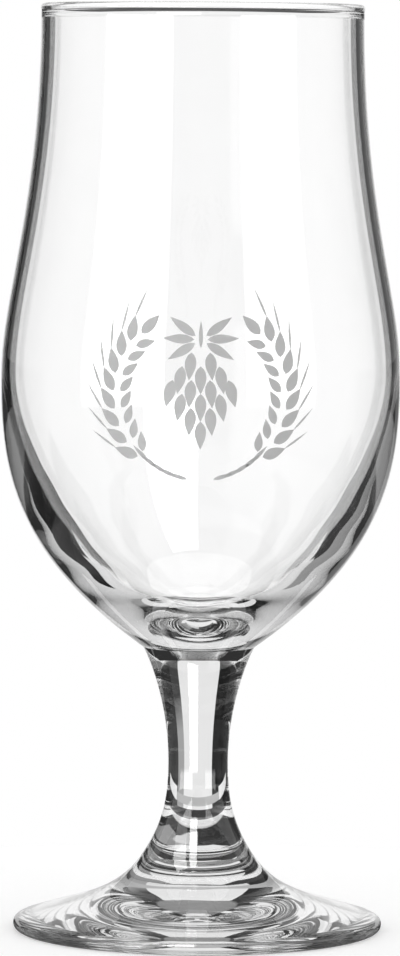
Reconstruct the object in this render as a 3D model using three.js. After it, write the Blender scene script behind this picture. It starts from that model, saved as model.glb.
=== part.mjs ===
// Stemmed beer glass: a blown bowl, a pressed stem and a pressed foot, fused hot end to end.
// Lengths are millimetres. Z is up, the axis of the glass is the Z axis, and the foot rests on Z = 0.

import * as THREE from "three";

// Foot
const FOOT_RADIUS = 33.9;
const FOOT_HEIGHT = 14; // table to the seam with the stem
const FOOT_EDGE = 2.5; // thickness of the rounded edge
const FOOT_EDGE_FALL = 18.7; // degrees that the upper face falls at the edge
const REST_RING_WIDTH = 2.6; // flat ring that touches the table
const UNDERSIDE_RISE = 2.4; // how far the hollow underside stands clear of the table

// Stem
const STEM_LENGTH = 38.3; // seam to seam
const STEM_FOOT_RADIUS = 10.1; // seam with the foot
const STEM_FOOT_FLARE = 32.9; // degrees out from straight down at that seam
const WAIST_RADIUS = 5.5;
const WAIST_RISE = 17.1; // narrowest point above the seam with the foot
const STEM_BOWL_RADIUS = 10.3; // seam with the bowl
const STEM_BOWL_FLARE = 28.4; // degrees that the stem opens at that seam

// Bowl
const BOWL_HEIGHT = 117.7; // seam with the stem to the rim
const BOWL_SEAM_FLARE = 54.5; // degrees that the bowl opens at the seam
const BELLY_RADIUS = 36.55;
const BELLY_RISE = 50.4; // widest point above the seam
const BELLY_WALL = 1.55;
const FLOOR_THICKNESS = 5; // solid glass between the seam and the hollow
const RIM_RADIUS = 29.5; // outside of the wall under the rim
const RIM_WALL = 1.6;
const RIM_SWELL = 0.1; // how far the fire-polished bead stands proud on each side

// How far each end of a curve holds its direction, as a share of the curve's drop
const FOOT_SEAM_PULL = 0.78;
const FOOT_EDGE_PULL = 0.88;
const STEM_FOOT_PULL = 0.434;
const WAIST_LOWER_PULL = 0.349;
const WAIST_UPPER_PULL = 0.41;
const STEM_BOWL_PULL = 0.222;
const BOWL_SEAM_PULL = 0.618;
const BELLY_LOWER_PULL = 0.308;
const BELLY_UPPER_PULL = 0.208;
const RIM_PULL = 0.527;
const HOLLOW_BELLY_PULL = 0.66;
const HOLLOW_FLOOR_PULL = 0.22;
const UNDERSIDE_CROWN = 0.6; // share of the underside's radius over which its crown stays level

// Facets
const SEGMENTS = 48; // around the axis
const LONG_CURVE_STEPS = 12;
const SHORT_CURVE_STEPS = 8;
const ROUND_STEPS = 6;

// Heights of the seams, the waist, the belly and the rim above the table
const stemBowlHeight = FOOT_HEIGHT + STEM_LENGTH;
const waistHeight = FOOT_HEIGHT + WAIST_RISE;
const bellyHeight = stemBowlHeight + BELLY_RISE;
const rimHeight = stemBowlHeight + BOWL_HEIGHT;
const floorHeight = stemBowlHeight + FLOOR_THICKNESS;

// Outline points have the radius as x and the height as y.
const point = (radius, height) => new THREE.Vector2(radius, height);

const stemFootSeam = point(STEM_FOOT_RADIUS, FOOT_HEIGHT);
const stemBowlSeam = point(STEM_BOWL_RADIUS, stemBowlHeight);
const waist = point(WAIST_RADIUS, waistHeight);
const belly = point(BELLY_RADIUS, bellyHeight);

// The direction of an outline that runs downwards and turns outwards by some degrees.
function downwards(degrees) {
  const angle = THREE.MathUtils.degToRad(degrees);
  return point(Math.sin(angle), -Math.cos(angle));
}

// A smooth outline down from one point to another. Each end has its own direction, in degrees out
// from straight down, and its own pull, the share of the drop over which that direction holds.
function flow(top, topTurn, topPull, bottom, bottomTurn, bottomPull) {
  const drop = top.y - bottom.y;
  const leaving = downwards(topTurn).multiplyScalar(drop * topPull);
  const arriving = downwards(bottomTurn).multiplyScalar(drop * bottomPull);
  return new THREE.CubicBezierCurve(top, top.clone().add(leaving), bottom.clone().sub(arriving), bottom);
}

// A round stretch of an outline, from one angle to another, in degrees, clockwise.
function round(centre, radius, fromDegrees, toDegrees) {
  const from = THREE.MathUtils.degToRad(fromDegrees);
  const to = THREE.MathUtils.degToRad(toDegrees);
  return new THREE.EllipseCurve(centre.x, centre.y, radius, radius, from, to, true);
}

// One piece of glass, turned about the Z axis from an outline that starts and ends on the axis.
function turnedGlass(name, outline) {
  const geometry = new THREE.LatheGeometry(outline, SEGMENTS);
  geometry.rotateX(Math.PI / 2);
  const clearGlass = new THREE.MeshStandardMaterial({
    color: 0xeef2f1,
    roughness: 0.03,
    metalness: 0,
    transparent: true,
    opacity: 0.35,
  });
  const mesh = new THREE.Mesh(geometry, clearGlass);
  mesh.name = name;
  return mesh;
}

// The foot: a low flared disc with a rounded edge and a shallow hollow under it.
function makeFoot() {
  const edgeCentre = point(FOOT_RADIUS - FOOT_EDGE / 2, FOOT_EDGE / 2);
  const edgeTurn = 90 - FOOT_EDGE_FALL;
  const edge = round(edgeCentre, FOOT_EDGE / 2, edgeTurn, -90);
  const edgeTop = edge.getPoint(0);
  const upperFace = flow(stemFootSeam, STEM_FOOT_FLARE, FOOT_SEAM_PULL, edgeTop, edgeTurn, FOOT_EDGE_PULL);
  const hollowRadius = edgeCentre.x - REST_RING_WIDTH;
  const hollow = new THREE.QuadraticBezierCurve(
    point(hollowRadius, 0),
    point(hollowRadius * UNDERSIDE_CROWN, UNDERSIDE_RISE),
    point(0, UNDERSIDE_RISE),
  );
  return turnedGlass("foot", [
    point(0, UNDERSIDE_RISE),
    ...hollow.getPoints(ROUND_STEPS).reverse().slice(1),
    ...edge.getPoints(ROUND_STEPS).reverse(),
    ...upperFace.getPoints(LONG_CURVE_STEPS).reverse().slice(1),
    point(0, FOOT_HEIGHT),
  ]);
}

// The stem: solid, drawn in to a waist and flared to a seam at each end.
function makeStem() {
  const lower = flow(waist, 0, WAIST_LOWER_PULL, stemFootSeam, STEM_FOOT_FLARE, STEM_FOOT_PULL);
  const upper = flow(stemBowlSeam, -STEM_BOWL_FLARE, STEM_BOWL_PULL, waist, 0, WAIST_UPPER_PULL);
  return turnedGlass("stem", [
    point(0, FOOT_HEIGHT),
    ...lower.getPoints(SHORT_CURVE_STEPS).reverse(),
    ...upper.getPoints(SHORT_CURVE_STEPS).reverse().slice(1),
    point(0, stemBowlHeight),
  ]);
}

// The bowl: a tulip with a thin upper wall that thickens to a heavy floor, and a beaded rim.
function makeBowl() {
  const beadRadius = RIM_WALL / 2 + RIM_SWELL;
  const beadDip = THREE.MathUtils.radToDeg(Math.acos(RIM_WALL / 2 / beadRadius));
  const beadCentre = point(RIM_RADIUS - RIM_WALL / 2, rimHeight - beadRadius);
  const bead = round(beadCentre, beadRadius, 180 + beadDip, -beadDip);
  const hollowBelly = point(BELLY_RADIUS - BELLY_WALL, bellyHeight);
  const hollowFloor = point(0, floorHeight);

  const outerUpper = flow(bead.getPoint(1), 0, RIM_PULL, belly, 0, BELLY_UPPER_PULL);
  const outerLower = flow(belly, 0, BELLY_LOWER_PULL, stemBowlSeam, -BOWL_SEAM_FLARE, BOWL_SEAM_PULL);
  const innerUpper = flow(bead.getPoint(0), 0, RIM_PULL, hollowBelly, 0, BELLY_UPPER_PULL);
  const innerLower = flow(hollowBelly, 0, HOLLOW_BELLY_PULL, hollowFloor, -90, HOLLOW_FLOOR_PULL);
  return turnedGlass("bowl", [
    point(0, stemBowlHeight),
    ...outerLower.getPoints(LONG_CURVE_STEPS).reverse(),
    ...outerUpper.getPoints(LONG_CURVE_STEPS).reverse().slice(1),
    ...bead.getPoints(ROUND_STEPS).reverse().slice(1),
    ...innerUpper.getPoints(LONG_CURVE_STEPS).slice(1),
    ...innerLower.getPoints(LONG_CURVE_STEPS).slice(1),
  ]);
}

const glass = new THREE.Group();
glass.add(makeFoot(), makeStem(), makeBowl());

export default glass;
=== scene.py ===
import math

import bpy
import numpy as np
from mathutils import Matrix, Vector


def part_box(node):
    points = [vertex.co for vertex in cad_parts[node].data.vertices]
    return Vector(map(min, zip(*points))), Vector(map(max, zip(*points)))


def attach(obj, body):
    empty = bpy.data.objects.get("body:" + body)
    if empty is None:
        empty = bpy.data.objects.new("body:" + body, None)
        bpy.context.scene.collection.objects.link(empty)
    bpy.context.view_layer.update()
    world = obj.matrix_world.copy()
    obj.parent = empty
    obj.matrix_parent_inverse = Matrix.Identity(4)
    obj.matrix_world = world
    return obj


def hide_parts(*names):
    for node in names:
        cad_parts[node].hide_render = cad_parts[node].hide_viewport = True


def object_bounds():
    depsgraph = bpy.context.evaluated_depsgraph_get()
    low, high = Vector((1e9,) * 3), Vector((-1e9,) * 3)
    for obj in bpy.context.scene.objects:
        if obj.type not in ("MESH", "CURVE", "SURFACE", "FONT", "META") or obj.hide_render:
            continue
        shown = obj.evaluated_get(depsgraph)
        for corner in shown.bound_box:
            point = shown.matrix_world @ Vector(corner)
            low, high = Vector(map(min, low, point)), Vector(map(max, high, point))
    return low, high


bl_info = {
    "name": "Stemmed beer glass",
    "version": (1, 0, 0),
    "blender": (4, 5, 0),
    "location": "View3D > Sidebar > Beer glass",
    "description": "Builds a tulip-shaped beer glass with a fired enamel print, and a studio to show it in",
    "category": "Add Mesh",
}

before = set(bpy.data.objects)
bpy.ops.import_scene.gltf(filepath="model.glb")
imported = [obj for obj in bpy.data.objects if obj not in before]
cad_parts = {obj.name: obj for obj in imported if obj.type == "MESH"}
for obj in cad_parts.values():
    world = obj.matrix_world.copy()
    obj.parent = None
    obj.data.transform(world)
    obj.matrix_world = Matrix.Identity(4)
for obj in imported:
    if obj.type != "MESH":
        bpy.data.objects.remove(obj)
cad_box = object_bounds()
foot_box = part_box("foot")
stem_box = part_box("stem")
bowl_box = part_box("bowl")

MM = 0.001
BODY = "root"

# How far each end of a curve holds its direction, as a share of the curve's drop
FOOT_SEAM_PULL = 0.78
FOOT_EDGE_PULL = 0.88
STEM_FOOT_PULL = 0.434
WAIST_LOWER_PULL = 0.349
WAIST_UPPER_PULL = 0.41
STEM_BOWL_PULL = 0.222
BOWL_SEAM_PULL = 0.618
BELLY_LOWER_PULL = 0.308
BELLY_UPPER_PULL = 0.208
RIM_PULL = 0.527
HOLLOW_BELLY_PULL = 0.66
HOLLOW_FLOOR_PULL = 0.22
UNDERSIDE_CROWN = 0.6  # share of the underside's radius over which its crown stays level

# Facets and unevenness of the glass
ROUGH_POINTS = 33  # enough to measure how long a curve is
LEAST_STEPS = 8  # along any curve
EDGE_STEPS = 8  # for each radius along the foot's rounded edge
BEAD_STEPS = 6  # for each radius along the bead of the rim
UNEVEN_REACH = 0.5  # share of the underside's radius that is uneven
UNEVEN_GROWTH = 3  # power by which the hollow of the bowl grows uneven towards its floor
GLASS_MERGE = 0.0005 * MM  # corners that are closer become one
SHARP_EDGE = math.radians(25)  # an edge that bends more stays sharp
ALL_SEAM = 0.99  # a face lies on a seam where the marks of its corners have a mean above this

# The ears of barley. Bearings along the wreath start from its lowest point.
EAR_NODES = 8  # pairs of grains
EAR_START = math.radians(46)
EAR_END = math.radians(126)
GRAIN_TURN = math.radians(27)
GRAIN_SEAT = 0.35  # from the stalk to the grain, as a share of the grain's width
INNER_TURN = math.radians(40)
INNER_SIZE = 0.78
AWN_TURN = math.radians(13)
AWN_SEAT = 0.95  # where an awn starts, as a share of the grain's length
STALK_DASHES = 5
STALK_START = math.radians(9)
DASH_OVERLAP = 2  # length of a dash of the stalk, in steps from dash to dash

# The hop cone, in shares of the length and the width of a scale
HOP_ROWS = (2, 3, 4, 3, 2, 1)  # scales in each row
ROW_STEP = 0.49  # from row to row
SCALE_PITCH = 1.6  # from scale to scale
SCALE_LEAN = math.radians(10)  # for each scale away from the middle
CONE_TOP = 1.5  # above the middle of the wreath
LEAF_TURNS = (55, 88, 121)  # degrees to each side of straight up
LEAF_RISE = 0.45  # above the top of the cone
LEAF_GAP = 1.6  # from the middle, as a share of the width of a line
LEAF_LENGTH = 1.15
LEAF_WIDTH = 0.8

# One mark of the print, and how the print is laid on the bowl
MARK_COLUMNS = 3
MARK_ROWS = 11
MARK_BULGE = 0.75  # below 1, a mark is widest towards its base
PRESS_START = 2 * cad_box[1].x  # distance from the axis
PRESS_REACH = 1000 * MM  # more than enough to meet the bowl
PRINT_LIFT = 0.01 * MM  # keeps the print clear of the glass
PRINT_MERGE = 0.001 * MM  # corners that are closer become one

# Materials
CORD = 9 * MM  # spacing of the faint streaks and waves that the flame leaves
POLISH_DEPTH = 0.002 * MM
ENAMEL_CLOUD = 2.5 * MM  # patches of thicker and thinner ink
ENAMEL_TONES = (0.94, 1.06)  # of the thinnest and the thickest ink
ENAMEL_SATIN = (0.45, 0.65)  # roughness of the same
ENAMEL_GRIT = 0.25 * MM  # the screen's mesh, drawn coarser than the real 0.1 mm so that it shows
GRIT_DEPTH = 0.01 * MM
GRIT_STRENGTH = 0.3
BLACK = (0, 0, 0, 1)
WHITE = (1, 1, 1, 1)

# The camera was fitted to the ellipses of the rim and the foot in the picture of 400 by 956 pixels.
PICTURE_HEIGHT = 956
FOCAL_LENGTH_PIXELS = 5803
SENSOR = 36 * MM
CAMERA_NEAR = 10 * MM

# Light runs far inside thick glass, so its paths are followed longer than usual.
LIGHT_BOUNCES = 64
CLEAR_BOUNCES = 32  # through seams and clear sheets

# Upright cards round the back of the glass, which only the glass sees. A card runs from its left end to its
# right end, each as x and y. It has a low edge, a top edge, and a strength at the level of the stem and of
# the bowl.
CARD_LOW = -190 * MM
PANEL_TOP = 225 * MM
STEM_LEVEL = 50 * MM
BOWL_LEVEL = 110 * MM
HOLLOW_GAIN = 1.27  # how much brighter a card is for light that has passed both walls of the bowl
LEFT_FLAG = (-214 * MM, 300 * MM)
PANEL_LEFT = (-104 * MM, 300 * MM)
PANEL_RIGHT = (104 * MM, 300 * MM)
RIGHT_FLAG = (175 * MM, 300 * MM)
FOOT_CARD_TOP = 14 * MM
MIDDLE_CARD_LOW = 9 * MM
MIDDLE_CARD_LEFT = (-18 * MM, 36 * MM)
MIDDLE_CARD_RIGHT = (18 * MM, 36 * MM)
SIDE_CARD_LOW = 4 * MM
LEFT_CARD_FAR = (-70 * MM, 45 * MM)
LEFT_CARD_NEAR = (-24 * MM, 45 * MM)
RIGHT_CARD_NEAR = (24 * MM, 45 * MM)
RIGHT_CARD_FAR = (70 * MM, 45 * MM)
CARDS = {
    "left_flag": (LEFT_FLAG, PANEL_LEFT, CARD_LOW, PANEL_TOP, 0.012, 0.012),
    "white_panel": (PANEL_LEFT, PANEL_RIGHT, CARD_LOW, PANEL_TOP, 0.85, 0.85),
    "right_flag": (PANEL_RIGHT, RIGHT_FLAG, CARD_LOW, PANEL_TOP, 0.38, 0.06),
    "foot_middle_card": (MIDDLE_CARD_LEFT, MIDDLE_CARD_RIGHT, MIDDLE_CARD_LOW, FOOT_CARD_TOP, 0.5, 0.5),
    "foot_left_card": (LEFT_CARD_FAR, LEFT_CARD_NEAR, SIDE_CARD_LOW, FOOT_CARD_TOP, 0.9, 0.9),
    "foot_right_card": (RIGHT_CARD_NEAR, RIGHT_CARD_FAR, SIDE_CARD_LOW, FOOT_CARD_TOP, 0.9, 0.9),
}

# Wings beside the flags: cards that only light in solid glass sees
WING_TOP = 100 * MM
LEFT_WING = (-450 * MM, 60 * MM)
RIGHT_WING = (450 * MM, 60 * MM)
WINGS = {
    "left_wing": (LEFT_WING, LEFT_FLAG, CARD_LOW, WING_TOP, 0.015, 0.015),
    "right_wing": (RIGHT_FLAG, RIGHT_WING, CARD_LOW, WING_TOP, 0.05, 0.05),
}

# Light sheets that are seen from below: one on each side of the foot, and a ring over the rim
CEILING_STRENGTH = 0.95
CEILING_HEIGHT = 50 * MM
CEILING_NEAR = 60 * MM
CEILING_FAR = 500 * MM
CEILING_FRONT = -350 * MM
CEILING_BACK = 45 * MM
RIM_LIGHT_HEIGHT = 176 * MM
RIM_LIGHT_INSIDE = 30.2 * MM
RIM_LIGHT_OUTSIDE = 80 * MM
SHEET_FACE = ((0, 1, 3, 2),)  # the four corners of a sheet, in order round it

# Louvres: rings round the bowl that fall away from it, seen from above by light in solid glass
LOUVRES = 5
LOUVRE_INSIDE = 42 * MM
LOUVRE_OUTSIDE = 220 * MM
LOUVRE_LOWEST = 118 * MM
LOUVRE_SPACING = 10 * MM
LOUVRE_FALL = math.radians(9)
RING_FACETS = 96  # of every ring on the stage

# The table lies just clear of the rest ring, so that the two don't share a plane. Under it lies a dark flag,
# which shows through the edge of the foot as painted shade. The table adds some light for each kind of ray.
# That keeps it white, and makes up for the light that really reaches it through the foot.
TABLE_LEVEL = -0.02 * MM
FLAG_LEVEL = -0.04 * MM
TABLE_HOLE = 0.1 * MM  # too small to show
TABLE_LIFTS = {"Is Camera Ray": 0.15, "Is Glossy Ray": 0.15, "Is Transmission Ray": 0.45}

# The room further off. A patch spans bearings, in degrees to the right of straight behind the glass, and
# elevations, and has a strength. Later patches lie in front of earlier ones.
PATCH_EDGE = 2.0  # degrees over which a patch fades
FILL_STRENGTH = 1.0  # light on the table and the print

# What light sees through both walls of the bowl, and what it sees besides where a wall has mirrored it
BOTH_WALLS = 4  # surfaces passed on the way through the bowl
BOWL_STRENGTH = 1.07
BOWL_PATCHES = (
    ("top flag", -110, 110, 41, 90, 0.012),
    ("left upper wing", -56, -25, 6, 28, 0.012),
    ("right upper wing", 25, 56, 6, 28, 0.012),
)
FRONT_PATCHES = (
    ("front wall", 110, 250, -30, 60, 0.43),
    ("front right softbox", 116, 154, -20, 60, 0.9),
    ("front left softbox", -159, -109, -20, 60, 1.2),
)

# What light sees from solid glass, and what it sees besides from the foot and before it is trapped in a wall
SOLID_STRENGTH = 0.03
SOLID_PATCHES = (
    ("front", 160, 200, -25, 40, 0.3),
    ("right wall", 62, 112, -35, 35, 0.2),
    ("panel top", -18, 18, 20, 34, 1.0),
    ("floor behind", -28, 28, -62, -32, 0.85),
    ("floor right", 28, 120, -65, -38, 0.3),
    ("floor below", 0, 180, -90, -65, 0.6),
)
FOOT_TURNS = 6  # turns that light makes in the foot at most, fewer than under the bowl
ABOVE_PATCHES = (("above behind", -60, 60, 34, 75, 0.28),)
TRAPPED = 4  # turns after which light counts as trapped in the wall of the bowl
SIDE_PATCHES = (("front left softbox", -160, -118, -22, 40, 0.8),)

# What the outer surface of the glass mirrors
MIRROR_STRENGTH = 0.25
MIRROR_PATCHES = (
    ("ground", -180, 180, -90, -12, 0.05),
    ("front wall", 100, 260, -30, 60, 0.12),
    ("front right softbox", 111, 153, -5, 25, 4.0),
    ("front left softbox", -159, -108, -5, 25, 6.0),
    ("left lamp", -146, -112, 25, 45, 2.5),
    ("overhead softbox", -146, -112, 45, 80, 9.0),
    ("low strip light", -178, -148, -65, -5, 13.0),
    ("high strip light", -178, -156, 25, 80, 13.0),
)


# Sizes and colours that a user would change


def length(name, default, description):
    """A length in metres, shown in the scene's unit."""
    return bpy.props.FloatProperty(
        name=name, description=description, default=default, min=0.0, precision=5, unit="LENGTH"
    )


def angle(name, degrees, description):
    """An angle, kept in radians and shown in degrees."""
    return bpy.props.FloatProperty(
        name=name, description=description, default=math.radians(degrees), subtype="ANGLE"
    )


def colour(name, code, description):
    """A colour, written as an sRGB hex value."""
    return bpy.props.FloatVectorProperty(
        name=name, description=description, default=linear(code), size=3, min=0.0, max=1.0, subtype="COLOR"
    )


def linear(code):
    """The linear red, green and blue of an sRGB hex value such as "#AFAFAF"."""
    parts = [int(code[i : i + 2], 16) / 255 for i in (1, 3, 5)]
    return tuple(c / 12.92 if c <= 0.04045 else ((c + 0.055) / 1.055) ** 2.4 for c in parts)


class GlassSizes(bpy.types.PropertyGroup):
    """Sizes of the three pieces of glass."""

    foot_radius: length("Foot radius", foot_box[1].x, "Outside of the foot's edge")
    foot_height: length("Foot height", foot_box[1].z, "Table to the seam with the stem")
    foot_edge: length("Foot edge", 2.5 * MM, "Thickness of the foot's rounded edge")
    foot_fall: angle("Foot fall", 18.7, "Fall of the foot's upper face at its edge")
    rest_ring: length("Rest ring", 2.6 * MM, "Width of the flat ring that touches the table")
    underside_rise: length("Underside rise", 2.4 * MM, "Height of the hollow under the foot")
    stem_foot_radius: length("Stem at foot", 10.1 * MM, "Radius of the seam between stem and foot")
    stem_foot_flare: angle("Flare at foot", 32.9, "Slope of the stem at its seam with the foot")
    waist_radius: length("Waist radius", 5.5 * MM, "Narrowest radius of the stem")
    waist_rise: length("Waist rise", 17.1 * MM, "Waist above the seam with the foot")
    stem_bowl_radius: length("Stem at bowl", stem_box[1].x, "Radius of the seam between stem and bowl")
    stem_bowl_flare: angle("Flare at bowl", 28.4, "Slope of the stem at its seam with the bowl")
    stem_bowl_height: length("Bowl seam height", stem_box[1].z, "Table to the seam with the bowl")
    bowl_seam_flare: angle("Bowl flare", 54.5, "Slope of the bowl at its seam with the stem")
    belly_radius: length("Belly radius", bowl_box[1].x, "Widest outside radius of the bowl")
    belly_rise: length("Belly rise", 50.4 * MM, "Belly above the seam with the stem")
    belly_wall: length("Belly wall", 1.55 * MM, "Thickness of the wall at the belly")
    floor_thickness: length("Floor", 5.0 * MM, "Solid glass between the seam and the hollow")
    rim_height: length("Rim height", bowl_box[1].z, "Table to the top of the rim")
    rim_radius: length("Rim radius", 29.5 * MM, "Outside of the wall under the rim")
    rim_wall: length("Rim wall", 1.6 * MM, "Thickness of the wall under the rim")
    rim_swell: length("Rim swell", 0.1 * MM, "How far the bead stands proud on each side")
    ripple_height: length("Ripple height", 0.015 * MM, "Height of the rings inside the lower bowl")
    ripple_spacing: length("Ripple spacing", 8.0 * MM, "Spacing of the rings inside the lower bowl")
    uneven_bowl: length("Uneven bowl", 0.06 * MM, "Unevenness of the bowl's floor")
    uneven_stem: length("Uneven stem", 0.06 * MM, "Unevenness of the stem")
    uneven_foot: length("Uneven foot", 0.15 * MM, "Unevenness of the foot's underside")
    uneven_spacing: length("Uneven spacing", 7.0 * MM, "Spacing of the uneven places")
    outline_step: length("Outline step", 0.9 * MM, "Spacing of the points along an outline")
    segments: bpy.props.IntProperty(
        name="Segments", description="Facets around the axis", default=224, min=24
    )


class PrintSizes(bpy.types.PropertyGroup):
    """Sizes of the enamel print: a hop cone between two ears of barley."""

    height: length("Print height", 100.5 * MM, "Middle of the wreath above the table")
    wreath_radius: length("Wreath radius", 15.3 * MM, "Middle of the wreath to the stalks")
    grain_length: length("Grain length", 4.6 * MM, "Length of a barley grain")
    grain_width: length("Grain width", 2.0 * MM, "Width of a barley grain")
    awn_length: length("Awn length", 5.5 * MM, "Length of the bristle on a grain")
    line_width: length("Line width", 0.75 * MM, "Width of the stalks")
    scale_length: length("Scale length", 5.0 * MM, "Length of a scale of the hop cone")
    scale_width: length("Scale width", 2.05 * MM, "Width of a scale of the hop cone")
    thickness: length("Enamel thickness", 0.025 * MM, "Thickness of the fired enamel")


class GlassFinish(bpy.types.PropertyGroup):
    """Colours and surface of the glass."""

    glass_colour: colour("Glass", "#FFFFFF", "Tint of the clear glass")
    cord_colour: colour("Cord", "#FDFDFD", "Tint of the streaks that the melt leaves in the glass")
    enamel_colour: colour("Enamel", "#AFAFAF", "Colour of the fired print")
    refraction: bpy.props.FloatProperty(
        name="Refractive index", description="Index of the soda-lime glass", default=1.52, min=1.0
    )


class StudioSettings(bpy.types.PropertyGroup):
    """The camera and the table."""

    camera_distance: length("Camera distance", 1062 * MM, "Camera to the axis of the glass")
    camera_height: length("Camera height", 155 * MM, "Camera above the table")
    aim_height: length("Aim height", 83.3 * MM, "Point on the axis at the middle of the picture")
    camera_roll: angle("Camera roll", 0.38, "Tilt of the camera, which leans the glass to the right")
    rest_inside: length("Rest inside", 22 * MM, "Inner edge of the table that shows through the foot")
    # The ring between these two edges is a painted shadow: a ring of the table in the dark colour below.
    contact_inside: length("Contact inside", 29.8 * MM, "Inner edge of the shadow under the rest ring")
    contact_outside: length("Contact outside", 32.8 * MM, "Outer edge of the shadow under the rest ring")
    flag_outside: length("Flag outside", 50 * MM, "Outer edge of the dark flag under the table")
    table_radius: length("Table radius", 120 * MM, "Radius of the white table top")
    table_colour: colour("Table", "#F4F4F4", "Colour of the table top")
    # Painted shadow: this dark colour stands in for the shade under the rest ring, on the table ring there
    # and on the flag under the table.
    painted_shadow_colour: colour("Shadow", "#303030", "Colour of the table under the rest ring, and of the flag")


# Outlines of the pieces, as points with a radius and a height, and how uneven the glass is at each point


def downwards(turn):
    """The direction of an outline that runs down and turns outwards by an angle."""
    return np.array((math.sin(turn), -math.cos(turn)))


def spaced(curve, step):
    """Points along a curve of one parameter, about one step apart, both ends included."""
    rough = np.array([curve(t) for t in np.linspace(0, 1, ROUGH_POINTS)])
    reach = np.linalg.norm(np.diff(rough, axis=0), axis=1).sum()
    count = max(LEAST_STEPS, round(reach / step))
    return [curve(t) for t in np.linspace(0, 1, count + 1)]


def flow(top, top_turn, top_pull, bottom, bottom_turn, bottom_pull, step):
    """A smooth outline down from one point to another, with its own direction and pull at each end."""
    start, end = np.array(top), np.array(bottom)
    drop = start[1] - end[1]
    leave = start + downwards(top_turn) * drop * top_pull
    arrive = end - downwards(bottom_turn) * drop * bottom_pull

    def curve(t):
        s = 1 - t
        return s**3 * start + 3 * s * s * t * leave + 3 * s * t * t * arrive + t**3 * end

    return spaced(curve, step)


def arc(centre, radius, start, end, step):
    """A round stretch of an outline between two angles."""

    def curve(t):
        turn = start + (end - start) * t
        return np.array(centre) + radius * np.array((math.cos(turn), math.sin(turn)))

    return spaced(curve, step)


def foot_outline(g):
    """The foot, from the axis under it round its edge to the seam with the stem."""
    step = g.outline_step
    edge_radius = g.foot_edge / 2
    edge_centre = (g.foot_radius - edge_radius, edge_radius)
    edge_turn = math.pi / 2 - g.foot_fall
    edge = arc(edge_centre, edge_radius, -math.pi / 2, edge_turn, edge_radius / EDGE_STEPS)
    seam = (g.stem_foot_radius, g.foot_height)
    upper = flow(seam, g.stem_foot_flare, FOOT_SEAM_PULL, edge[-1], edge_turn, FOOT_EDGE_PULL, step)
    hollow_radius = edge_centre[0] - g.rest_ring

    def hollow(t):
        crown = 2 * (1 - t) * t * UNDERSIDE_CROWN * hollow_radius
        return np.array((crown + t * t * hollow_radius, (1 - t * t) * g.underside_rise))

    under = spaced(hollow, step)
    even = edge + upper[::-1][1:]
    reach = UNEVEN_REACH * hollow_radius
    uneven = [max(0, 1 - (r / reach) ** 2) ** 2 for r, z in under]
    return under + even, uneven + [0] * len(even)


def stem_outline(g):
    """The stem, from its seam with the foot up to its seam with the bowl."""
    step = g.outline_step
    lower_seam = (g.stem_foot_radius, g.foot_height)
    upper_seam = (g.stem_bowl_radius, g.stem_bowl_height)
    waist = (g.waist_radius, g.foot_height + g.waist_rise)
    lower = flow(waist, 0, WAIST_LOWER_PULL, lower_seam, g.stem_foot_flare, STEM_FOOT_PULL, step)
    upper = flow(upper_seam, -g.stem_bowl_flare, STEM_BOWL_PULL, waist, 0, WAIST_UPPER_PULL, step)
    outline = lower[::-1] + upper[::-1][1:]
    return outline, [math.sin(math.pi * share) for share in np.linspace(0, 1, len(outline))]


def rippled(outline, height, spacing):
    """An outline with rings raised along it, which grow from nothing at its start and fade at its end."""
    points = np.array(outline)
    run = np.concatenate([[0], np.cumsum(np.linalg.norm(np.diff(points, axis=0), axis=1))])
    share = run / run[-1]
    slope = np.gradient(points, axis=0)
    across = np.stack([-slope[:, 1], slope[:, 0]], axis=1) / np.linalg.norm(slope, axis=1)[:, None]
    rise = height * np.sin(math.tau * run / spacing) * np.sin(math.pi * share**2)
    return list(points + across * rise[:, None])


def bowl_outline(g):
    """The bowl, from its seam with the stem up the outside, over the rim and down the inside."""
    step = g.outline_step
    bead_radius = g.rim_wall / 2 + g.rim_swell
    dip = math.acos(g.rim_wall / 2 / bead_radius)
    bead_centre = (g.rim_radius - g.rim_wall / 2, g.rim_height - bead_radius)
    bead = arc(bead_centre, bead_radius, -dip, math.pi + dip, bead_radius / BEAD_STEPS)
    seam = (g.stem_bowl_radius, g.stem_bowl_height)
    belly_height = g.stem_bowl_height + g.belly_rise
    belly = (g.belly_radius, belly_height)
    inner_belly = (g.belly_radius - g.belly_wall, belly_height)
    floor = (0, g.stem_bowl_height + g.floor_thickness)
    lower = flow(belly, 0, BELLY_LOWER_PULL, seam, -g.bowl_seam_flare, BOWL_SEAM_PULL, step)
    upper = flow(bead[0], 0, RIM_PULL, belly, 0, BELLY_UPPER_PULL, step)
    inner_upper = flow(bead[-1], 0, RIM_PULL, inner_belly, 0, BELLY_UPPER_PULL, step)
    inner_lower = flow(inner_belly, 0, HOLLOW_BELLY_PULL, floor, -math.pi / 2, HOLLOW_FLOOR_PULL, step)
    inner_lower = rippled(inner_lower, g.ripple_height, g.ripple_spacing)
    even = lower[::-1] + upper[::-1][1:] + bead[1:] + inner_upper[1:]
    uneven = [share**UNEVEN_GROWTH for share in np.linspace(0, 1, len(inner_lower) - 1)]
    return even + inner_lower[1:], [0] * len(even) + uneven


# The print, as pointed marks on a flat sheet: place, turn to the right of straight up, length and width


def along(place, turn, distance):
    """A place some distance away in the direction of a turn."""
    return place[0] + math.sin(turn) * distance, place[1] + math.cos(turn) * distance


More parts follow.
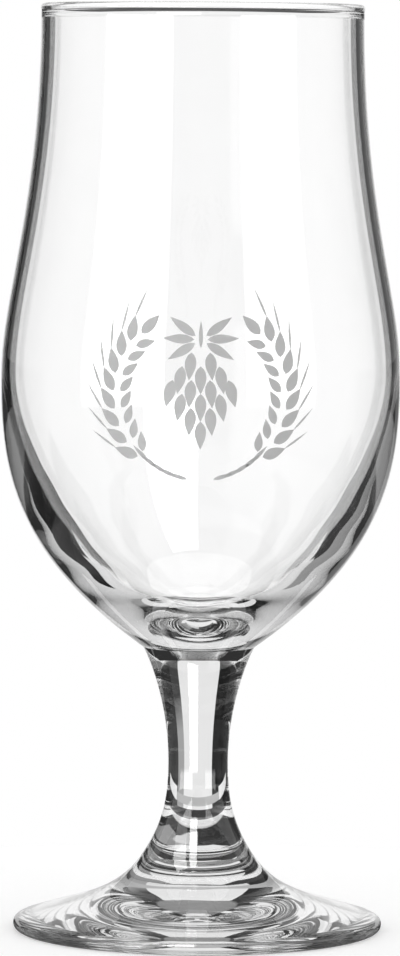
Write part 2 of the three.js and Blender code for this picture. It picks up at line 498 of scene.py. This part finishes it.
def barley_ear(p, side):
    """Marks of one ear of barley, which rises along the wreath on one side."""

    def stalk(bearing):
        place = (side * math.sin(bearing) * p.wreath_radius, p.height - math.cos(bearing) * p.wreath_radius)
        return place, math.atan2(side * math.cos(bearing), math.sin(bearing))

    marks = []
    dash = (EAR_START - STALK_START) / STALK_DASHES
    for k in range(STALK_DASHES):
        place, turn = stalk(STALK_START + k * dash)
        marks.append((*place, turn - side * dash, dash * p.wreath_radius * DASH_OVERLAP, p.line_width))
    for bearing in np.linspace(EAR_START, EAR_END, EAR_NODES):
        place, turn = stalk(bearing)
        for lean in (-1, 1):
            inner = lean == -side
            size = INNER_SIZE if inner else 1
            base = along(place, turn + lean * math.pi / 2, p.grain_width * GRAIN_SEAT)
            grain_turn = turn + lean * (INNER_TURN if inner else GRAIN_TURN)
            marks.append((*base, grain_turn, p.grain_length * size, p.grain_width * size))
            if not inner:
                tip = along(base, grain_turn, p.grain_length * AWN_SEAT)
                marks.append((*tip, turn + lean * AWN_TURN, p.awn_length, p.line_width / 2))
    place, turn = stalk(EAR_END + p.grain_length / 2 / p.wreath_radius)
    marks.append((*place, turn, p.grain_length, p.grain_width))
    return marks


def hop_cone(p):
    """Marks of a hanging hop cone with its stalk and two leaves."""
    marks = []
    pitch = p.scale_width * SCALE_PITCH
    top = p.height + p.scale_length * CONE_TOP
    for row, count in enumerate(HOP_ROWS):
        for k in range(count):
            x = (k - (count - 1) / 2) * pitch
            z = top - row * p.scale_length * ROW_STEP
            marks.append((x, z, math.pi - SCALE_LEAN * x / pitch, p.scale_length, p.scale_width))
    marks.append((0, top + p.line_width, 0, p.scale_length, p.line_width))
    leaf_middle = (0, top + p.scale_length * LEAF_RISE)
    for side in (-1, 1):
        for degrees in LEAF_TURNS:
            turn = side * math.radians(degrees)
            base = along(leaf_middle, turn, p.line_width * LEAF_GAP)
            marks.append((*base, turn, p.scale_length * LEAF_LENGTH, p.scale_width * LEAF_WIDTH))
    return marks


# Objects and node trees


def new_object(name, corners, faces=(), marks=None):
    """An object in the scene from a plain mesh, with named marks that hold a value for each corner."""
    mesh = bpy.data.meshes.new(name)
    mesh.from_pydata(corners, [], faces)
    for mark, values in (marks or {}).items():
        attribute = mesh.attributes.new(mark, "FLOAT", "POINT")
        attribute.data.foreach_set("value", np.array(values, dtype=np.float32))
    made = bpy.data.objects.new(name, mesh)
    bpy.context.scene.collection.objects.link(made)
    return made


def add_node(tree, kind, inputs=None, **settings):
    """Adds a node with its settings and inputs, and gives its outputs. A list makes several links."""
    node = tree.nodes.new(kind)
    for name, value in settings.items():
        setattr(node, name, value)
    for socket, value in (inputs or {}).items():
        for item in value if isinstance(value, list) else [value]:
            if isinstance(item, bpy.types.NodeSocket):
                tree.links.new(item, node.inputs[socket])
            else:
                node.inputs[socket].default_value = item
    return node.outputs


def new_tree(name, sockets):
    """A tree that makes a piece, and the outputs that bring in its named inputs."""
    tree = bpy.data.node_groups.new(name, "GeometryNodeTree")
    for socket, kind in sockets.items():
        tree.interface.new_socket(socket, in_out="INPUT", socket_type="NodeSocket" + kind)
    tree.interface.new_socket("Piece", in_out="OUTPUT", socket_type="NodeSocketGeometry")
    return tree, add_node(tree, "NodeGroupInput")


def apply_tree(piece, tree, values):
    """Runs a node tree on a piece's own mesh and keeps the result as a plain mesh."""
    modifier = piece.modifiers.new(tree.name, "NODES")
    modifier.node_group = tree
    for item in tree.interface.items_tree:
        if item.in_out == "INPUT" and item.name in values:
            modifier[item.identifier] = values[item.name]
    bpy.context.view_layer.update()
    evaluated = piece.evaluated_get(bpy.context.evaluated_depsgraph_get())
    mesh = bpy.data.meshes.new_from_object(evaluated)
    piece.modifiers.clear()
    source = piece.data
    piece.data = mesh
    bpy.data.meshes.remove(source)
    mesh.name = piece.name
    while mesh.materials and mesh.materials[0] is None:
        mesh.materials.pop(index=0)


def turned_glass_tree():
    """Turns an outline about the Z axis. Points marked seam end up on a seam face."""
    sockets = {
        "Outline": "Geometry",
        "Segments": "Int",
        "Wave Height": "Float",
        "Wave Length": "Float",
        "Glass": "Material",
        "Fused Seam": "Material",
    }
    tree, given = new_tree("Turned glass", sockets)
    outline = given["Outline"]

    # A grid with a row for each point of the outline and a column for each turn
    count = add_node(tree, "GeometryNodeAttributeDomainSize", {"Geometry": outline})
    around = add_node(tree, "FunctionNodeIntegerMath", {0: given["Segments"], 1: 1}, operation="ADD")[0]
    lines = {"Vertices X": count["Point Count"], "Vertices Y": around}
    grid = add_node(tree, "GeometryNodeMeshGrid", lines)["Mesh"]
    index = add_node(tree, "GeometryNodeInputIndex")[0]
    place_in_grid = {0: index, 1: around}
    row = add_node(tree, "FunctionNodeIntegerMath", place_in_grid, operation="DIVIDE_FLOOR")[0]
    column = add_node(tree, "FunctionNodeIntegerMath", place_in_grid, operation="MODULO")[0]
    share = add_node(tree, "ShaderNodeMath", {0: column, 1: given["Segments"]}, operation="DIVIDE")[0]
    turn = add_node(tree, "ShaderNodeMath", {0: share, 1: math.tau}, operation="MULTIPLY")[0]

    # What the outline holds in each row
    place = add_node(tree, "GeometryNodeInputPosition")[0]
    sample = {"Geometry": outline, "Value": place, "Index": row}
    point = add_node(tree, "GeometryNodeSampleIndex", sample, data_type="FLOAT_VECTOR")["Value"]
    marks = {}
    for mark in ("seam", "wave"):
        held = add_node(tree, "GeometryNodeInputNamedAttribute", {"Name": mark})[0]
        sample = {"Geometry": outline, "Value": held, "Index": row}
        marks[mark] = add_node(tree, "GeometryNodeSampleIndex", sample)["Value"]

    # The grid turned about the axis
    axes = add_node(tree, "ShaderNodeSeparateXYZ", {0: point})
    cosine = add_node(tree, "ShaderNodeMath", {0: turn}, operation="COSINE")[0]
    sine = add_node(tree, "ShaderNodeMath", {0: turn}, operation="SINE")[0]
    east = add_node(tree, "ShaderNodeMath", {0: axes["X"], 1: cosine}, operation="MULTIPLY")[0]
    north = add_node(tree, "ShaderNodeMath", {0: axes["X"], 1: sine}, operation="MULTIPLY")[0]
    turned = add_node(tree, "ShaderNodeCombineXYZ", {"X": east, "Y": north, "Z": axes["Z"]})[0]
    mesh = add_node(tree, "GeometryNodeSetPosition", {"Geometry": grid, "Position": turned})[0]
    for mark, value in marks.items():
        stored = {"Geometry": mesh, "Name": mark, "Value": value}
        mesh = add_node(tree, "GeometryNodeStoreNamedAttribute", stored)[0]
    mesh = add_node(tree, "GeometryNodeMergeByDistance", {"Geometry": mesh, "Distance": GLASS_MERGE})[0]
    mesh = add_node(tree, "GeometryNodeFlipFaces", {"Mesh": mesh})[0]

    # Unevenness along the normals, from a noise that lies about a half
    waves = add_node(tree, "ShaderNodeMath", {0: 1.0, 1: given["Wave Length"]}, operation="DIVIDE")[0]
    pattern = {"Vector": place, "Scale": waves, "Detail": 1.0, "Roughness": 0.4}
    noise = add_node(tree, "ShaderNodeTexNoise", pattern)[0]
    rise = add_node(tree, "ShaderNodeMath", {0: noise, 1: 0.5}, operation="SUBTRACT")[0]
    weight = add_node(tree, "GeometryNodeInputNamedAttribute", {"Name": "wave"})[0]
    for factor in (given["Wave Height"], weight):
        rise = add_node(tree, "ShaderNodeMath", {0: rise, 1: factor}, operation="MULTIPLY")[0]
    normal = add_node(tree, "GeometryNodeInputNormal")[0]
    offset = add_node(tree, "ShaderNodeVectorMath", {"Vector": normal, "Scale": rise}, operation="SCALE")[0]
    mesh = add_node(tree, "GeometryNodeSetPosition", {"Geometry": mesh, "Offset": offset})[0]

    # Smooth glass with sharp edges at the seams
    mesh = add_node(tree, "GeometryNodeSetShadeSmooth", {"Geometry": mesh, "Shade Smooth": True})[0]
    bend = add_node(tree, "GeometryNodeInputMeshEdgeAngle")["Unsigned Angle"]
    sharp = add_node(tree, "FunctionNodeCompare", {"A": bend, "B": SHARP_EDGE}, operation="GREATER_THAN")[0]
    creased = {"Geometry": mesh, "Selection": sharp, "Shade Smooth": False}
    mesh = add_node(tree, "GeometryNodeSetShadeSmooth", creased, domain="EDGE")[0]

    mesh = add_node(tree, "GeometryNodeRealizeInstances", {"Geometry": mesh})[0]
    mesh = add_node(tree, "GeometryNodeSetMaterial", {"Geometry": mesh, "Material": given["Glass"]})[0]
    seam = add_node(tree, "GeometryNodeInputNamedAttribute", {"Name": "seam"})[0]
    fused = add_node(tree, "FunctionNodeCompare", {"A": seam, "B": ALL_SEAM}, operation="GREATER_THAN")[0]
    inside = {"Geometry": mesh, "Selection": fused, "Material": given["Fused Seam"]}
    mesh = add_node(tree, "GeometryNodeSetMaterial", inside)[0]
    add_node(tree, "NodeGroupOutput", {"Piece": mesh})
    return tree


def turn_glass(name, outline, uneven, seams, unevenness):
    """One piece of glass turned from its outline, closed by a flat face at each seam."""
    g = bpy.context.scene.glass_sizes
    rows = list(outline)
    weights = list(uneven)
    seam_rows = [0] * len(rows)
    if "start" in seams:
        rows = [(0, rows[0][1]), *rows]
        seam_rows = [1, 1, *seam_rows[1:]]
        weights = [0, *weights]
    if "end" in seams:
        rows = [*rows, (0, rows[-1][1])]
        seam_rows = [*seam_rows[:-1], 1, 1]
        weights = [*weights, 0]
    corners = [(r, 0, z) for r, z in rows]
    piece = new_object(name, corners, marks={"seam": seam_rows, "wave": weights})
    apply_tree(
        piece,
        bpy.data.node_groups.get("Turned glass") or turned_glass_tree(),
        {
            "Segments": g.segments,
            "Wave Height": unevenness,
            "Wave Length": g.uneven_spacing,
            "Glass": material("Soda-lime glass, fire polished", soda_lime_glass),
            "Fused Seam": material("Fused glass seam", fused_seam),
        },
    )
    return piece


def print_tree():
    """Lays pointed marks on the bowl, as thick as the enamel, each closed all round."""
    sockets = {
        "Marks": "Geometry",
        "Bowl": "Object",
        "Wrap Radius": "Float",
        "Thickness": "Float",
        "Enamel": "Material",
    }
    tree, given = new_tree("Enamel print", sockets)

    # One mark of unit size, pointed at both ends
    place = add_node(tree, "GeometryNodeInputPosition")[0]
    lines = {"Vertices X": MARK_COLUMNS, "Vertices Y": MARK_ROWS}
    grid = add_node(tree, "GeometryNodeMeshGrid", lines)["Mesh"]
    flat = add_node(tree, "ShaderNodeSeparateXYZ", {0: place})
    rise = add_node(tree, "ShaderNodeMath", {0: flat["Y"], 1: 0.5}, operation="ADD")[0]
    lower = add_node(tree, "ShaderNodeMath", {0: rise, 1: MARK_BULGE}, operation="POWER")[0]
    swing = add_node(tree, "ShaderNodeMath", {0: lower, 1: math.pi}, operation="MULTIPLY")[0]
    width = add_node(tree, "ShaderNodeMath", {0: swing}, operation="SINE")[0]
    across = add_node(tree, "ShaderNodeMath", {0: flat["X"], 1: width}, operation="MULTIPLY")[0]
    shaped = add_node(tree, "ShaderNodeCombineXYZ", {"X": across, "Z": rise})[0]
    mark = add_node(tree, "GeometryNodeSetPosition", {"Geometry": grid, "Position": shaped})[0]

    # The marks in their places on a flat sheet
    held = {
        name: add_node(tree, "GeometryNodeInputNamedAttribute", {"Name": name})[0]
        for name in ("turn", "long", "wide")
    }
    turn = add_node(tree, "ShaderNodeCombineXYZ", {"Y": held["turn"]})[0]
    size = add_node(tree, "ShaderNodeCombineXYZ", {"X": held["wide"], "Y": 1.0, "Z": held["long"]})[0]
    points = add_node(tree, "GeometryNodeMeshToPoints", {"Mesh": given["Marks"]})[0]
    placed = {"Points": points, "Instance": mark, "Rotation": turn, "Scale": size}
    sheet = add_node(tree, "GeometryNodeInstanceOnPoints", placed)[0]
    sheet = add_node(tree, "GeometryNodeRealizeInstances", {"Geometry": sheet})[0]
    sheet = add_node(tree, "GeometryNodeMergeByDistance", {"Geometry": sheet, "Distance": PRINT_MERGE})[0]

    # The sheet is wrapped round the axis and pressed on the bowl from outside
    flat = add_node(tree, "ShaderNodeSeparateXYZ", {0: place})
    wrap = {0: flat["X"], 1: given["Wrap Radius"]}
    bearing = add_node(tree, "ShaderNodeMath", wrap, operation="DIVIDE")[0]
    sine = add_node(tree, "ShaderNodeMath", {0: bearing}, operation="SINE")[0]
    cosine = add_node(tree, "ShaderNodeMath", {0: bearing}, operation="COSINE")[0]
    front = add_node(tree, "ShaderNodeMath", {0: cosine, 1: -1.0}, operation="MULTIPLY")[0]
    outwards = add_node(tree, "ShaderNodeCombineXYZ", {"X": sine, "Y": front})[0]
    level = add_node(tree, "ShaderNodeCombineXYZ", {"Z": flat["Z"]})[0]
    away = {0: outwards, 1: (PRESS_START,) * 3, 2: level}
    away = add_node(tree, "ShaderNodeVectorMath", away, operation="MULTIPLY_ADD")[0]
    inwards = add_node(tree, "ShaderNodeVectorMath", {0: outwards, 3: -1.0}, operation="SCALE")[0]
    bowl = add_node(tree, "GeometryNodeObjectInfo", {"Object": given["Bowl"]})["Geometry"]
    press = {
        "Target Geometry": bowl,
        "Source Position": away,
        "Ray Direction": inwards,
        "Ray Length": PRESS_REACH,
    }
    press = add_node(tree, "GeometryNodeRaycast", press)
    lift = {0: press["Hit Normal"], 1: (PRINT_LIFT,) * 3, 2: press["Hit Position"]}
    lift = add_node(tree, "ShaderNodeVectorMath", lift, operation="MULTIPLY_ADD")[0]
    sheet = add_node(tree, "GeometryNodeSetPosition", {"Geometry": sheet, "Position": lift})[0]

    # The sheet gets the thickness of the enamel and a back
    coat = {"Mesh": sheet, "Offset Scale": given["Thickness"], "Individual": False}
    upper = add_node(tree, "GeometryNodeExtrudeMesh", coat)["Mesh"]
    under = add_node(tree, "GeometryNodeFlipFaces", {"Mesh": sheet})[0]
    whole = add_node(tree, "GeometryNodeJoinGeometry", {0: [upper, under]})[0]
    whole = add_node(tree, "GeometryNodeMergeByDistance", {"Geometry": whole, "Distance": PRINT_MERGE})[0]
    whole = add_node(tree, "GeometryNodeRealizeInstances", {"Geometry": whole})[0]
    whole = add_node(tree, "GeometryNodeSetMaterial", {"Geometry": whole, "Material": given["Enamel"]})[0]
    add_node(tree, "NodeGroupOutput", {"Piece": whole})
    return tree


# Materials. Each has a function that adds its nodes to a tree and gives the inputs of its surface.


def material(name, surface):
    """A material by its name, made the first time it is asked for."""
    made = bpy.data.materials.get(name)
    if made is None:
        made = bpy.data.materials.new(name)
        made.use_nodes = True
        tree = made.node_tree
        tree.nodes.clear()
        shader = add_node(tree, "ShaderNodeBsdfPrincipled", surface(tree))[0]
        add_node(tree, "ShaderNodeOutputMaterial", {"Surface": shader})
    return made


def soda_lime_glass(tree):
    """Clear soda-lime glass, smoothed by the flame: sharp mirror-like gloss and a neutral body."""
    finish = bpy.context.scene.glass_finish
    place = add_node(tree, "ShaderNodeTexCoord")["Object"]
    cord = add_node(tree, "ShaderNodeTexNoise", {"Vector": place, "Scale": 1 / CORD, "Detail": 1.0})[0]
    tints = {0: cord, 6: (*finish.glass_colour, 1), 7: (*finish.cord_colour, 1)}
    waves = {"Strength": 1.0, "Distance": POLISH_DEPTH, "Height": cord}
    return {
        "Base Color": add_node(tree, "ShaderNodeMix", tints, data_type="RGBA")[2],
        "Roughness": 0.0,
        "IOR": finish.refraction,
        "Transmission Weight": 1.0,
        "Normal": add_node(tree, "ShaderNodeBump", waves)[0],
    }


def fused_seam(tree):
    """The inside of a hot-fused joint: the glass runs on without a boundary, so nothing shows."""
    return {"Alpha": 0.0}


def fired_enamel(tree):
    """Grey glass enamel, printed through a screen and fired: opaque, satin, a little uneven in tone."""
    finish = bpy.context.scene.glass_finish
    place = add_node(tree, "ShaderNodeTexCoord")["Object"]
    clouds = {"Vector": place, "Scale": 1 / ENAMEL_CLOUD, "Detail": 2.0}
    cloud = add_node(tree, "ShaderNodeTexNoise", clouds)[0]
    spans = []
    for least, most in (ENAMEL_TONES, ENAMEL_SATIN):
        span = {"Value": cloud, "To Min": least, "To Max": most}
        spans.append(add_node(tree, "ShaderNodeMapRange", span)[0])
    tone, satin = spans
    ink = {0: tuple(finish.enamel_colour), 3: tone}
    screen = {"Vector": place, "Scale": 1 / ENAMEL_GRIT, "Detail": 1.0}
    grit = add_node(tree, "ShaderNodeTexNoise", screen)[0]
    bump = {"Strength": GRIT_STRENGTH, "Distance": GRIT_DEPTH, "Height": grit}
    return {
        "Base Color": add_node(tree, "ShaderNodeVectorMath", ink, operation="SCALE")[0],
        "Roughness": satin,
        "Normal": add_node(tree, "ShaderNodeBump", bump)[0],
    }


def white_table(tree):
    """A matt white table top, which adds some light to what each kind of ray sees."""
    path = add_node(tree, "ShaderNodeLightPath")
    lift = 0.0
    for ray, strength in TABLE_LIFTS.items():
        seen = add_node(tree, "ShaderNodeMath", {0: path[ray], 1: strength}, operation="MULTIPLY")[0]
        lift = add_node(tree, "ShaderNodeMath", {0: lift, 1: seen}, operation="MAXIMUM")[0]
    return {
        "Base Color": (*bpy.context.scene.studio.table_colour, 1),
        "Roughness": 1.0,
        "Specular IOR Level": 0.0,
        "Emission Color": WHITE,
        "Emission Strength": lift,
    }


def painted_shadow_table(tree):
    """The matt table where hardly any light reaches it. Its dark base colour is a painted shadow, which
    stands in for that shade.
    """
    return {"Base Color": (*bpy.context.scene.studio.painted_shadow_colour, 1), "Roughness": 1.0}


def glow(strength, alpha):
    """A surface that gives white light and mirrors nothing."""
    return {
        "Alpha": alpha,
        "Base Color": BLACK,
        "Specular IOR Level": 0.0,
        "Emission Color": WHITE,
        "Emission Strength": strength,
    }


def ceiling_light(tree):
    """A light sheet that is clear from above."""
    return glow(CEILING_STRENGTH, add_node(tree, "ShaderNodeNewGeometry")["Backfacing"])


def louvre_light(tree):
    """A light sheet that is clear from below, and clear to light that has passed both walls of the bowl."""
    above = {0: in_solid_glass(tree), 1: add_node(tree, "ShaderNodeNewGeometry")["Backfacing"]}
    above = add_node(tree, "ShaderNodeMath", above, operation="SUBTRACT", use_clamp=True)[0]
    return glow(CEILING_STRENGTH, above)


# Light of the stage


def fewer(tree, counter, limit):
    """1 for light whose path has fewer than some turns, by one of Light Path's counters, otherwise 0."""
    count = add_node(tree, "ShaderNodeLightPath")[counter]
    return add_node(tree, "ShaderNodeMath", {0: count, 1: limit - 0.5}, operation="LESS_THAN")[0]


def in_solid_glass(tree):
    """1 for light that has passed fewer surfaces than the two walls of the bowl have, otherwise 0."""
    return fewer(tree, "Transmission Depth", BOTH_WALLS)


def paint(tree, bearing, rise, strength, patches, share=1.0):
    """Paints patches over a room, for each bearing and elevation, for the share of light that sees them."""
    light = strength
    for name, left, right, low, high, patch_strength in patches:
        cover = share
        for turn, least, most in ((bearing, left, right), (rise, low, high)):
            middle = math.radians(least + most) / 2
            away = add_node(tree, "ShaderNodeMath", {0: turn, 1: middle}, operation="SUBTRACT")[0]
            away = add_node(tree, "ShaderNodeMath", {0: away, 1: -math.pi, 2: math.pi}, operation="WRAP")[0]
            away = add_node(tree, "ShaderNodeMath", {0: away}, operation="ABSOLUTE")[0]
            reach = {
                "Value": away,
                "From Min": math.radians(most - least - PATCH_EDGE) / 2,
                "From Max": math.radians(most - least + PATCH_EDGE) / 2,
                "To Min": 1.0,
                "To Max": 0.0,
            }
            inside = add_node(tree, "ShaderNodeMapRange", reach, label=name)[0]
            cover = add_node(tree, "ShaderNodeMath", {0: cover, 1: inside}, operation="MULTIPLY")[0]
        light = add_node(tree, "ShaderNodeMix", {0: cover, 2: light, 3: patch_strength})[0]
    return light


def ring(inside, outside, height, drop=0.0):
    """Corners and faces of a ring about the axis, which faces up. It is level, or drops to its outside."""
    turns = np.linspace(0, math.tau, RING_FACETS, endpoint=False)
    ends = ((inside, height), (outside, height - drop))
    corners = [(r * math.cos(t), r * math.sin(t), z) for r, z in ends for t in turns]
    pairs = [(k, (k + 1) % RING_FACETS) for k in range(RING_FACETS)]
    return corners, [(a, a + RING_FACETS, b + RING_FACETS, b) for a, b in pairs]


# Operators


class BEERGLASS_OT_foot(bpy.types.Operator):
    """Turn the wide pressed foot"""

    bl_idname = "beer_glass.foot"
    bl_label = "Make the foot"

    def execute(self, context):
        g = context.scene.glass_sizes
        piece = turn_glass("foot_glass", *foot_outline(g), ("end",), g.uneven_foot)
        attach(piece, BODY)
        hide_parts("foot")
        return {"FINISHED"}


class BEERGLASS_OT_stem(bpy.types.Operator):
    """Turn the solid waisted stem"""

    bl_idname = "beer_glass.stem"
    bl_label = "Make the stem"

    def execute(self, context):
        g = context.scene.glass_sizes
        piece = turn_glass("stem_glass", *stem_outline(g), ("start", "end"), g.uneven_stem)
        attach(piece, BODY)
        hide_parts("stem")
        return {"FINISHED"}


class BEERGLASS_OT_bowl(bpy.types.Operator):
    """Turn the blown bowl"""

    bl_idname = "beer_glass.bowl"
    bl_label = "Make the bowl"

    def execute(self, context):
        g = context.scene.glass_sizes
        piece = turn_glass("bowl_glass", *bowl_outline(g), ("start",), g.uneven_bowl)
        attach(piece, BODY)
        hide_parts("bowl")
        return {"FINISHED"}


class BEERGLASS_OT_print(bpy.types.Operator):
    """Print the grey enamel hop and barley on the front of the bowl"""

    bl_idname = "beer_glass.print"
    bl_label = "Print the bowl"

    def execute(self, context):
        p = context.scene.print_sizes
        marks = np.array(hop_cone(p) + barley_ear(p, -1) + barley_ear(p, 1))
        corners = [(x, 0, z) for x, z in marks[:, :2]]
        sizes = dict(zip(("turn", "long", "wide"), marks[:, 2:].T))
        piece = new_object("enamel_print", corners, marks=sizes)
        apply_tree(
            piece,
            print_tree(),
            {
                "Bowl": bpy.data.objects["bowl_glass"],
                "Wrap Radius": context.scene.glass_sizes.belly_radius,
                "Thickness": p.thickness,
                "Enamel": material("Fired glass enamel, screen printed", fired_enamel),
            },
        )
        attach(piece, BODY)
        return {"FINISHED"}


class BEERGLASS_OT_stage(bpy.types.Operator):
    """Set the table, the light and the camera"""

    bl_idname = "beer_glass.stage"
    bl_label = "Set the stage"

    def execute(self, context):
        scene = context.scene
        self.make_camera(scene, scene.studio)
        self.make_world(scene)
        self.make_table(scene.studio)
        for name, card in CARDS.items():
            self.make_card(name, *card, solid_only=False)
        for name, card in WINGS.items():
            self.make_card(name, *card, solid_only=True)
        self.make_ceilings()
        self.make_louvres()
        scene.view_settings.view_transform = "Standard"
        scene.cycles.max_bounces = LIGHT_BOUNCES
        scene.cycles.transmission_bounces = LIGHT_BOUNCES
        scene.cycles.glossy_bounces = LIGHT_BOUNCES
        scene.cycles.transparent_max_bounces = CLEAR_BOUNCES
        return {"FINISHED"}

    def make_camera(self, scene, s):
        """A camera in front of the glass, aimed at a point on its axis."""
        lens = bpy.data.cameras.new("camera")
        lens.sensor_width = SENSOR / MM
        lens.lens = FOCAL_LENGTH_PIXELS / PICTURE_HEIGHT * SENSOR / MM
        lens.clip_start = CAMERA_NEAR
        camera = bpy.data.objects.new("camera", lens)
        camera.location = (0, -s.camera_distance, s.camera_height)
        aim = Vector((0, 0, s.aim_height)) - camera.location
        camera.rotation_euler = aim.to_track_quat("-Z", "Y").to_euler()
        camera.rotation_euler.rotate_axis("Z", s.camera_roll)
        scene.collection.objects.link(camera)
        scene.camera = camera

    def make_world(self, scene):
        """The room, which light sees by the way that it has come. The camera sees plain white."""
        world = bpy.data.worlds.new("Studio")
        scene.world = world
        world.use_nodes = True
        tree = world.node_tree
        tree.nodes.clear()
        direction = add_node(tree, "ShaderNodeTexCoord")["Generated"]
        axes = add_node(tree, "ShaderNodeSeparateXYZ", {0: direction})
        bearing = add_node(tree, "ShaderNodeMath", {0: axes["X"], 1: axes["Y"]}, operation="ARCTAN2")[0]
        rise = add_node(tree, "ShaderNodeMath", {0: axes["Z"]}, operation="ARCSINE")[0]
        path = add_node(tree, "ShaderNodeLightPath")

        bowl = paint(tree, bearing, rise, BOWL_STRENGTH, BOWL_PATCHES)
        light = paint(tree, bearing, rise, bowl, FRONT_PATCHES)
        solid = paint(tree, bearing, rise, SOLID_STRENGTH, SOLID_PATCHES)
        in_foot = fewer(tree, "Ray Depth", FOOT_TURNS + 1)
        solid = paint(tree, bearing, rise, solid, ABOVE_PATCHES, in_foot)
        untrapped = fewer(tree, "Ray Depth", TRAPPED)
        solid = paint(tree, bearing, rise, solid, SIDE_PATCHES, untrapped)
        mirrored = paint(tree, bearing, rise, MIRROR_STRENGTH, MIRROR_PATCHES)
        outer = {0: path["Is Reflection Ray"], 1: fewer(tree, "Transmission Depth", 1)}
        outer = add_node(tree, "ShaderNodeMath", outer, operation="MULTIPLY")[0]
        for share, other in (
            (fewer(tree, "Glossy Depth", 1), bowl),
            (in_solid_glass(tree), solid),
            (outer, mirrored),
            (path["Diffuse Depth"], FILL_STRENGTH),
            (path["Is Camera Ray"], 1.0),
        ):
            light = add_node(tree, "ShaderNodeMix", {0: share, 2: light, 3: other})[0]
        background = add_node(tree, "ShaderNodeBackground", {"Color": WHITE, "Strength": light})[0]
        add_node(tree, "ShaderNodeOutputWorld", {"Surface": background})

    def make_table(self, s):
        """The table in rings, of which the glass sees those under the foot, and the flag below it. The ring
        under the rest ring and the flag are dark as a painted shadow.
        """
        white = material("White table", white_table)
        painted_shadow = material("White table in the shadow of the foot", painted_shadow_table)
        edges = (TABLE_HOLE, s.rest_inside, s.contact_inside, s.contact_outside, s.table_radius)
        names = ("table_middle", "table_rest", "table_contact", "table")
        for name, inside, outside in zip(names, edges, edges[1:]):
            part = new_object(name, *ring(inside, outside, TABLE_LEVEL))
            # The ring under the rest ring gets the dark material of the painted shadow.
            part.data.materials.append(painted_shadow if name == "table_contact" else white)
            part.visible_transmission = name in ("table_rest", "table_contact")
            part.visible_glossy = name == "table_rest"
        # The flag is a dark sheet in the painted shadow colour, seen only through the glass as painted shade
        # at the foot's edge.
        self.hang("edge_flag", *ring(s.contact_outside, s.flag_outside, FLAG_LEVEL), painted_shadow)

    def make_card(self, name, left, right, low, top, stem_strength, bowl_strength, solid_only):
        """An upright card whose strength changes from the level of the stem to that of the bowl."""

        def surface(tree):
            place = add_node(tree, "ShaderNodeTexCoord")["Object"]
            levels = {
                "Value": add_node(tree, "ShaderNodeSeparateXYZ", {0: place})["Z"],
                "From Min": STEM_LEVEL,
                "From Max": BOWL_LEVEL,
                "To Min": stem_strength,
                "To Max": bowl_strength,
            }
            strength = add_node(tree, "ShaderNodeMapRange", levels)[0]
            hollow = add_node(tree, "ShaderNodeMath", {0: strength, 1: HOLLOW_GAIN}, operation="MULTIPLY")[0]
            solid = in_solid_glass(tree)
            strength = add_node(tree, "ShaderNodeMix", {0: solid, 2: hollow, 3: strength})[0]
            return glow(strength, solid if solid_only else 1.0)

        corners = [(*end, z) for z in (low, top) for end in (left, right)]
        self.hang(name, corners, SHEET_FACE, material(name, surface))

    def make_ceilings(self):
        """Light sheets on each side of the foot and over the rim."""
        light = material("Ceiling light, seen from below", ceiling_light)
        for side, name in ((-1, "left_ceiling"), (1, "right_ceiling")):
            ends = sorted((side * CEILING_NEAR, side * CEILING_FAR))
            corners = [(x, y, CEILING_HEIGHT) for y in (CEILING_FRONT, CEILING_BACK) for x in ends]
            self.hang(name, corners, SHEET_FACE, light)
        self.hang("rim_ceiling", *ring(RIM_LIGHT_INSIDE, RIM_LIGHT_OUTSIDE, RIM_LIGHT_HEIGHT), light)

    def make_louvres(self):
        """Light rings, one above the other, round the bowl."""
        light = material("Louvre light, seen from above", louvre_light)
        drop = (LOUVRE_OUTSIDE - LOUVRE_INSIDE) * math.tan(LOUVRE_FALL)
        for k in range(LOUVRES):
            level = LOUVRE_LOWEST + k * LOUVRE_SPACING
            self.hang(f"louvre_{k + 1}", *ring(LOUVRE_INSIDE, LOUVRE_OUTSIDE, level, drop), light)

    def hang(self, name, corners, faces, surface):
        """A sheet that only the glass sees, and that casts no shadow."""
        sheet = new_object(name, corners, faces)
        sheet.data.materials.append(surface)
        sheet.visible_camera = False
        sheet.visible_diffuse = False
        sheet.visible_shadow = False


class BEERGLASS_PT_panel(bpy.types.Panel):
    """The steps of the beer glass, in order"""

    bl_idname = "BEERGLASS_PT_panel"
    bl_label = "Beer glass"
    bl_space_type = "VIEW_3D"
    bl_region_type = "UI"
    bl_category = "Beer glass"

    def draw(self, context):
        for step in STEPS:
            self.layout.operator(step.bl_idname)


STEPS = (BEERGLASS_OT_foot, BEERGLASS_OT_stem, BEERGLASS_OT_bowl, BEERGLASS_OT_print, BEERGLASS_OT_stage)
SETTINGS = {
    "glass_sizes": GlassSizes,
    "print_sizes": PrintSizes,
    "glass_finish": GlassFinish,
    "studio": StudioSettings,
}


def register():
    for kind in (*SETTINGS.values(), *STEPS, BEERGLASS_PT_panel):
        bpy.utils.register_class(kind)
    for name, kind in SETTINGS.items():
        setattr(bpy.types.Scene, name, bpy.props.PointerProperty(type=kind))


def unregister():
    for name in SETTINGS:
        delattr(bpy.types.Scene, name)
    for kind in (BEERGLASS_PT_panel, *reversed(STEPS), *SETTINGS.values()):
        bpy.utils.unregister_class(kind)


def main():
    """Makes the glass and its stage."""
    register()
    bpy.ops.beer_glass.foot()
    bpy.ops.beer_glass.stem()
    bpy.ops.beer_glass.bowl()
    bpy.ops.beer_glass.print()
    bpy.ops.beer_glass.stage()


if __name__ == "__main__":
    main()
